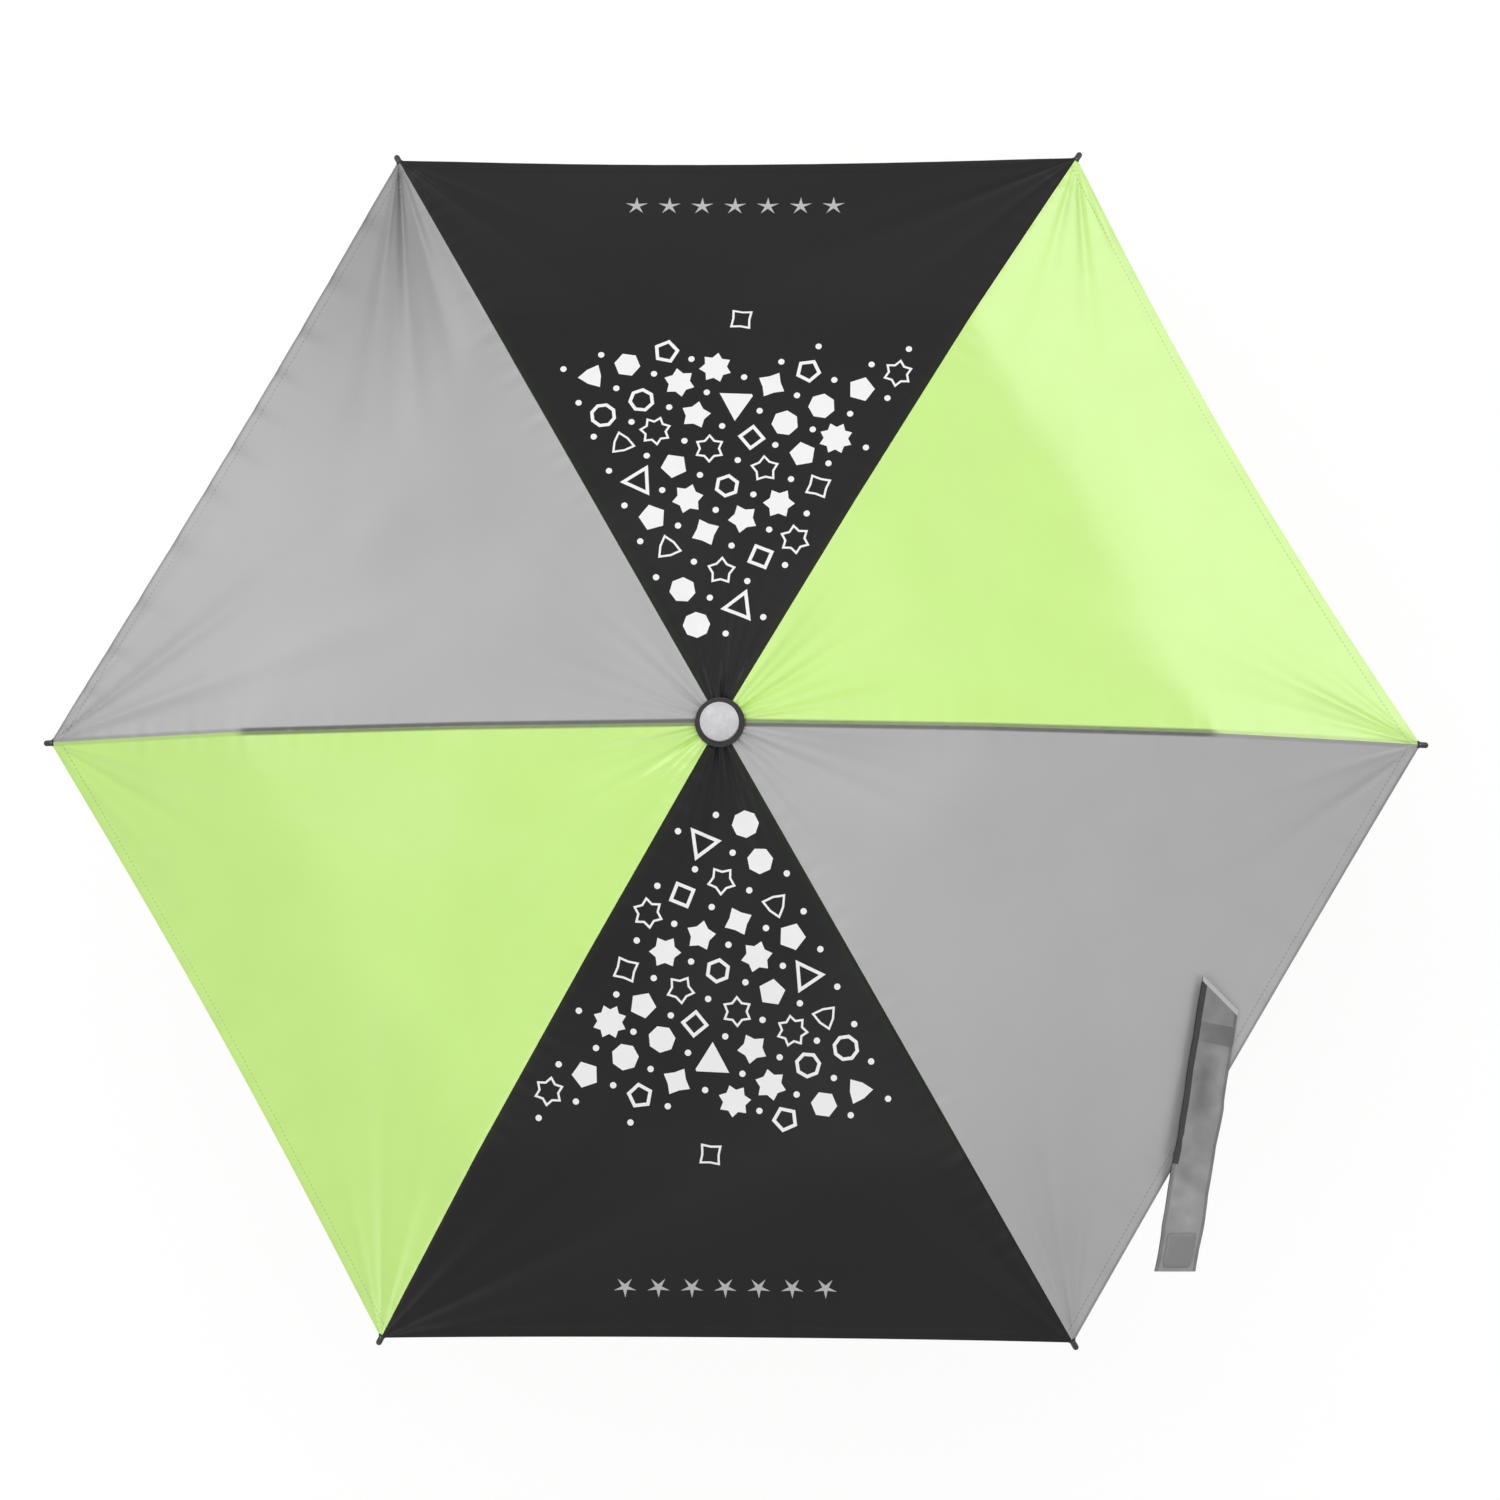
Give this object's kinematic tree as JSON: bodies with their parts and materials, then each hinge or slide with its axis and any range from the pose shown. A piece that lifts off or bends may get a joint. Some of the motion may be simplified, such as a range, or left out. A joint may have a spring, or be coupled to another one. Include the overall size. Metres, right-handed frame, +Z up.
{
  "type": "children's umbrella",
  "caption": "Folding pocket umbrella with a hexagonal cloth canopy of coloured panels on jointed three-section ribs, a telescopic shaft, a sliding runner and a short handle.",
  "frame": {"origin": "middle of the handle's grip band, on the shaft's axis", "axes": "+Z up the shaft to the canopy, +X along the first rib, which is the right one in the picture, +Y the way that is up in the picture"},
  "size_m": [0.8816, 0.764, 0.545],
  "materials": {
    "handle_plastic": "fine moulded grain, black",
    "shaft_steel": "bright plated steel tube",
    "frame_plastic": "moulded black",
    "button_plastic": "moulded dark grey",
    "wire_steel": "drawn bright wire",
    "rib_steel": "black plated rolled steel",
    "link_steel": "zinc plated strip",
    "tip_plastic": "moulded black",
    "cap_plastic": "satin light grey",
    "rosette_cloth": "black woven cloth",
    "canopy_green": "plain woven polyester, light green",
    "canopy_black": "plain woven polyester, black with a white print",
    "canopy_grey": "plain woven polyester, grey",
    "strap_cloth": "doubled woven polyester, grey, with a hook patch"
  },
  "bodies": {
    "handle": {"handle_grip": "handle_plastic", "handle_end_cap": "handle_plastic", "lower_tube": "shaft_steel", "lower_bush": "frame_plastic"},
    "middle_tube": {"middle_tube": "shaft_steel", "middle_bush": "frame_plastic"},
    "upper_tube": {"upper_tube": "shaft_steel", "top_notch": "frame_plastic", "notch_wire": "wire_steel", "canopy_washer": "rosette_cloth", "ferrule_cap": "cap_plastic", "canopy_green": "canopy_green", "canopy_black": "canopy_black", "canopy_grey": "canopy_grey"},
    "runner": {"runner": "frame_plastic", "runner_wire": "wire_steel"},
    "runner_button": {"runner_button": "button_plastic"},
    "top_rib_1": {"top_rib_1": "rib_steel"},
    "stretcher_1": {"stretcher_1": "rib_steel"},
    "connecting_link_1": {"connecting_link_1": "link_steel"},
    "middle_rib_1": {"middle_rib_1": "rib_steel"},
    "pull_wire_1": {"pull_wire_1": "wire_steel"},
    "outer_rib_1": {"outer_rib_1": "rib_steel", "rib_tip_1": "tip_plastic"},
    "top_rib_2": {"top_rib_2": "rib_steel"},
    "stretcher_2": {"stretcher_2": "rib_steel"},
    "connecting_link_2": {"connecting_link_2": "link_steel"},
    "middle_rib_2": {"middle_rib_2": "rib_steel"},
    "pull_wire_2": {"pull_wire_2": "wire_steel"},
    "outer_rib_2": {"outer_rib_2": "rib_steel", "rib_tip_2": "tip_plastic"},
    "top_rib_3": {"top_rib_3": "rib_steel"},
    "stretcher_3": {"stretcher_3": "rib_steel"},
    "connecting_link_3": {"connecting_link_3": "link_steel"},
    "middle_rib_3": {"middle_rib_3": "rib_steel"},
    "pull_wire_3": {"pull_wire_3": "wire_steel"},
    "outer_rib_3": {"outer_rib_3": "rib_steel", "rib_tip_3": "tip_plastic"},
    "top_rib_4": {"top_rib_4": "rib_steel"},
    "stretcher_4": {"stretcher_4": "rib_steel"},
    "connecting_link_4": {"connecting_link_4": "link_steel"},
    "middle_rib_4": {"middle_rib_4": "rib_steel"},
    "pull_wire_4": {"pull_wire_4": "wire_steel"},
    "outer_rib_4": {"outer_rib_4": "rib_steel", "rib_tip_4": "tip_plastic"},
    "top_rib_5": {"top_rib_5": "rib_steel"},
    "stretcher_5": {"stretcher_5": "rib_steel"},
    "connecting_link_5": {"connecting_link_5": "link_steel"},
    "middle_rib_5": {"middle_rib_5": "rib_steel"},
    "pull_wire_5": {"pull_wire_5": "wire_steel"},
    "outer_rib_5": {"outer_rib_5": "rib_steel", "rib_tip_5": "tip_plastic"},
    "top_rib_6": {"top_rib_6": "rib_steel"},
    "stretcher_6": {"stretcher_6": "rib_steel"},
    "connecting_link_6": {"connecting_link_6": "link_steel"},
    "middle_rib_6": {"middle_rib_6": "rib_steel"},
    "pull_wire_6": {"pull_wire_6": "wire_steel"},
    "outer_rib_6": {"outer_rib_6": "rib_steel", "rib_tip_6": "tip_plastic", "closure_strap": "strap_cloth"}
  },
  "joints": [
    {"name": "middle_tube_slide", "type": "slide", "parent": "handle", "child": "middle_tube", "axis": [0, 0, -1], "range_m": [0, 0.135]},
    {"name": "upper_tube_slide", "type": "slide", "parent": "middle_tube", "child": "upper_tube", "axis": [0, 0, -1], "range_m": [0, 0.135]},
    {"name": "runner_slide", "type": "slide", "parent": "upper_tube", "child": "runner", "axis": [0, 0, -1], "range_m": [0, 0.10036], "deforming": ["canopy_green", "canopy_black", "canopy_grey", "closure_strap"]},
    {"name": "button_press", "type": "slide", "parent": "runner", "child": "runner_button", "axis": [-0.866, -0.5, 0], "range_m": [0, 0.002], "stiffness_N_per_m": 800},
    {"name": "top_rib_hinge_1", "type": "hinge", "parent": "upper_tube", "child": "top_rib_1", "pos_m": [0.008, 0, 0.49218], "axis": [0, -1, 0], "range_deg": [-81.21, 0]},
    {"name": "stretcher_hinge_1", "type": "hinge", "parent": "top_rib_1", "child": "stretcher_1", "pos_m": [0.07946, 0, 0.4834], "axis": [0, -1, 0], "range_deg": [0, 134.73]},
    {"name": "knee_hinge_1", "type": "hinge", "parent": "top_rib_1", "child": "middle_rib_1", "pos_m": [0.16504, 0, 0.47466], "axis": [0, -1, 0], "range_deg": [0, 183.71]},
    {"name": "tail_hinge_1", "type": "hinge", "parent": "middle_rib_1", "child": "outer_rib_1", "pos_m": [0.30651, 0, 0.4384], "axis": [0, -1, 0], "range_deg": [-167.51, 0]},
    {"name": "link_hinge_1", "type": "hinge", "parent": "stretcher_1", "child": "connecting_link_1", "pos_m": [0.07209, 0, 0.47824], "axis": [0, -1, 0], "range_deg": [-127.59, 0]},
    {"name": "pull_wire_hinge_1", "type": "hinge", "parent": "top_rib_1", "child": "pull_wire_1", "pos_m": [0.16048, 0, 0.47446], "axis": [0, -1, 0], "range_deg": [0, 187.04]},
    {"name": "top_rib_hinge_2", "type": "hinge", "parent": "upper_tube", "child": "top_rib_2", "pos_m": [0.004, 0.00693, 0.49218], "axis": [0.866, -0.5, 0], "range_deg": [-81.21, 0]},
    {"name": "stretcher_hinge_2", "type": "hinge", "parent": "top_rib_2", "child": "stretcher_2", "pos_m": [0.03973, 0.06882, 0.4834], "axis": [0.866, -0.5, 0], "range_deg": [0, 134.73]},
    {"name": "knee_hinge_2", "type": "hinge", "parent": "top_rib_2", "child": "middle_rib_2", "pos_m": [0.08252, 0.14293, 0.47466], "axis": [0.866, -0.5, 0], "range_deg": [0, 183.71]},
    {"name": "tail_hinge_2", "type": "hinge", "parent": "middle_rib_2", "child": "outer_rib_2", "pos_m": [0.15325, 0.26544, 0.4384], "axis": [0.866, -0.5, 0], "range_deg": [-167.51, 0]},
    {"name": "link_hinge_2", "type": "hinge", "parent": "stretcher_2", "child": "connecting_link_2", "pos_m": [0.03605, 0.06243, 0.47824], "axis": [0.866, -0.5, 0], "range_deg": [-127.59, 0]},
    {"name": "pull_wire_hinge_2", "type": "hinge", "parent": "top_rib_2", "child": "pull_wire_2", "pos_m": [0.08024, 0.13898, 0.47446], "axis": [0.866, -0.5, 0], "range_deg": [0, 187.04]},
    {"name": "top_rib_hinge_3", "type": "hinge", "parent": "upper_tube", "child": "top_rib_3", "pos_m": [-0.004, 0.00693, 0.49218], "axis": [0.866, 0.5, 0], "range_deg": [-81.21, 0]},
    {"name": "stretcher_hinge_3", "type": "hinge", "parent": "top_rib_3", "child": "stretcher_3", "pos_m": [-0.03973, 0.06882, 0.4834], "axis": [0.866, 0.5, 0], "range_deg": [0, 134.73]},
    {"name": "knee_hinge_3", "type": "hinge", "parent": "top_rib_3", "child": "middle_rib_3", "pos_m": [-0.08252, 0.14293, 0.47466], "axis": [0.866, 0.5, 0], "range_deg": [0, 183.71]},
    {"name": "tail_hinge_3", "type": "hinge", "parent": "middle_rib_3", "child": "outer_rib_3", "pos_m": [-0.15325, 0.26544, 0.4384], "axis": [0.866, 0.5, 0], "range_deg": [-167.51, 0]},
    {"name": "link_hinge_3", "type": "hinge", "parent": "stretcher_3", "child": "connecting_link_3", "pos_m": [-0.03605, 0.06243, 0.47824], "axis": [0.866, 0.5, 0], "range_deg": [-127.59, 0]},
    {"name": "pull_wire_hinge_3", "type": "hinge", "parent": "top_rib_3", "child": "pull_wire_3", "pos_m": [-0.08024, 0.13898, 0.47446], "axis": [0.866, 0.5, 0], "range_deg": [0, 187.04]},
    {"name": "top_rib_hinge_4", "type": "hinge", "parent": "upper_tube", "child": "top_rib_4", "pos_m": [-0.008, 0, 0.49218], "axis": [0, 1, 0], "range_deg": [-81.21, 0]},
    {"name": "stretcher_hinge_4", "type": "hinge", "parent": "top_rib_4", "child": "stretcher_4", "pos_m": [-0.07946, 0, 0.4834], "axis": [0, 1, 0], "range_deg": [0, 134.73]},
    {"name": "knee_hinge_4", "type": "hinge", "parent": "top_rib_4", "child": "middle_rib_4", "pos_m": [-0.16504, 0, 0.47466], "axis": [0, 1, 0], "range_deg": [0, 183.71]},
    {"name": "tail_hinge_4", "type": "hinge", "parent": "middle_rib_4", "child": "outer_rib_4", "pos_m": [-0.30651, 0, 0.4384], "axis": [0, 1, 0], "range_deg": [-167.51, 0]},
    {"name": "link_hinge_4", "type": "hinge", "parent": "stretcher_4", "child": "connecting_link_4", "pos_m": [-0.07209, 0, 0.47824], "axis": [0, 1, 0], "range_deg": [-127.59, 0]},
    {"name": "pull_wire_hinge_4", "type": "hinge", "parent": "top_rib_4", "child": "pull_wire_4", "pos_m": [-0.16048, 0, 0.47446], "axis": [0, 1, 0], "range_deg": [0, 187.04]},
    {"name": "top_rib_hinge_5", "type": "hinge", "parent": "upper_tube", "child": "top_rib_5", "pos_m": [-0.004, -0.00693, 0.49218], "axis": [-0.866, 0.5, 0], "range_deg": [-81.21, 0]},
    {"name": "stretcher_hinge_5", "type": "hinge", "parent": "top_rib_5", "child": "stretcher_5", "pos_m": [-0.03973, -0.06882, 0.4834], "axis": [-0.866, 0.5, 0], "range_deg": [0, 134.73]},
    {"name": "knee_hinge_5", "type": "hinge", "parent": "top_rib_5", "child": "middle_rib_5", "pos_m": [-0.08252, -0.14293, 0.47466], "axis": [-0.866, 0.5, 0], "range_deg": [0, 183.71]},
    {"name": "tail_hinge_5", "type": "hinge", "parent": "middle_rib_5", "child": "outer_rib_5", "pos_m": [-0.15325, -0.26544, 0.4384], "axis": [-0.866, 0.5, 0], "range_deg": [-167.51, 0]},
    {"name": "link_hinge_5", "type": "hinge", "parent": "stretcher_5", "child": "connecting_link_5", "pos_m": [-0.03605, -0.06243, 0.47824], "axis": [-0.866, 0.5, 0], "range_deg": [-127.59, 0]},
    {"name": "pull_wire_hinge_5", "type": "hinge", "parent": "top_rib_5", "child": "pull_wire_5", "pos_m": [-0.08024, -0.13898, 0.47446], "axis": [-0.866, 0.5, 0], "range_deg": [0, 187.04]},
    {"name": "top_rib_hinge_6", "type": "hinge", "parent": "upper_tube", "child": "top_rib_6", "pos_m": [0.004, -0.00693, 0.49218], "axis": [-0.866, -0.5, 0], "range_deg": [-81.21, 0]},
    {"name": "stretcher_hinge_6", "type": "hinge", "parent": "top_rib_6", "child": "stretcher_6", "pos_m": [0.03973, -0.06882, 0.4834], "axis": [-0.866, -0.5, 0], "range_deg": [0, 134.73]},
    {"name": "knee_hinge_6", "type": "hinge", "parent": "top_rib_6", "child": "middle_rib_6", "pos_m": [0.08252, -0.14293, 0.47466], "axis": [-0.866, -0.5, 0], "range_deg": [0, 183.71]},
    {"name": "tail_hinge_6", "type": "hinge", "parent": "middle_rib_6", "child": "outer_rib_6", "pos_m": [0.15325, -0.26544, 0.4384], "axis": [-0.866, -0.5, 0], "range_deg": [-167.51, 0]},
    {"name": "link_hinge_6", "type": "hinge", "parent": "stretcher_6", "child": "connecting_link_6", "pos_m": [0.03605, -0.06243, 0.47824], "axis": [-0.866, -0.5, 0], "range_deg": [-127.59, 0]},
    {"name": "pull_wire_hinge_6", "type": "hinge", "parent": "top_rib_6", "child": "pull_wire_6", "pos_m": [0.08024, -0.13898, 0.47446], "axis": [-0.866, -0.5, 0], "range_deg": [0, 187.04]}
  ],
  "couplings": [
    {"joint": "top_rib_hinge_1", "follows": "runner_slide", "rad_per_m": -14.121},
    {"joint": "stretcher_hinge_1", "follows": "runner_slide", "rad_per_m": 23.427},
    {"joint": "knee_hinge_1", "follows": "runner_slide", "rad_per_m": 31.946},
    {"joint": "tail_hinge_1", "follows": "runner_slide", "rad_per_m": -29.129},
    {"joint": "link_hinge_1", "follows": "runner_slide", "rad_per_m": -22.186},
    {"joint": "pull_wire_hinge_1", "follows": "runner_slide", "rad_per_m": 32.525},
    {"joint": "top_rib_hinge_2", "follows": "runner_slide", "rad_per_m": -14.121},
    {"joint": "stretcher_hinge_2", "follows": "runner_slide", "rad_per_m": 23.427},
    {"joint": "knee_hinge_2", "follows": "runner_slide", "rad_per_m": 31.946},
    {"joint": "tail_hinge_2", "follows": "runner_slide", "rad_per_m": -29.129},
    {"joint": "link_hinge_2", "follows": "runner_slide", "rad_per_m": -22.186},
    {"joint": "pull_wire_hinge_2", "follows": "runner_slide", "rad_per_m": 32.525},
    {"joint": "top_rib_hinge_3", "follows": "runner_slide", "rad_per_m": -14.121},
    {"joint": "stretcher_hinge_3", "follows": "runner_slide", "rad_per_m": 23.427},
    {"joint": "knee_hinge_3", "follows": "runner_slide", "rad_per_m": 31.946},
    {"joint": "tail_hinge_3", "follows": "runner_slide", "rad_per_m": -29.129},
    {"joint": "link_hinge_3", "follows": "runner_slide", "rad_per_m": -22.186},
    {"joint": "pull_wire_hinge_3", "follows": "runner_slide", "rad_per_m": 32.525},
    {"joint": "top_rib_hinge_4", "follows": "runner_slide", "rad_per_m": -14.121},
    {"joint": "stretcher_hinge_4", "follows": "runner_slide", "rad_per_m": 23.427},
    {"joint": "knee_hinge_4", "follows": "runner_slide", "rad_per_m": 31.946},
    {"joint": "tail_hinge_4", "follows": "runner_slide", "rad_per_m": -29.129},
    {"joint": "link_hinge_4", "follows": "runner_slide", "rad_per_m": -22.186},
    {"joint": "pull_wire_hinge_4", "follows": "runner_slide", "rad_per_m": 32.525},
    {"joint": "top_rib_hinge_5", "follows": "runner_slide", "rad_per_m": -14.121},
    {"joint": "stretcher_hinge_5", "follows": "runner_slide", "rad_per_m": 23.427},
    {"joint": "knee_hinge_5", "follows": "runner_slide", "rad_per_m": 31.946},
    {"joint": "tail_hinge_5", "follows": "runner_slide", "rad_per_m": -29.129},
    {"joint": "link_hinge_5", "follows": "runner_slide", "rad_per_m": -22.186},
    {"joint": "pull_wire_hinge_5", "follows": "runner_slide", "rad_per_m": 32.525},
    {"joint": "top_rib_hinge_6", "follows": "runner_slide", "rad_per_m": -14.121},
    {"joint": "stretcher_hinge_6", "follows": "runner_slide", "rad_per_m": 23.427},
    {"joint": "knee_hinge_6", "follows": "runner_slide", "rad_per_m": 31.946},
    {"joint": "tail_hinge_6", "follows": "runner_slide", "rad_per_m": -29.129},
    {"joint": "link_hinge_6", "follows": "runner_slide", "rad_per_m": -22.186},
    {"joint": "pull_wire_hinge_6", "follows": "runner_slide", "rad_per_m": 32.525}
  ]
}
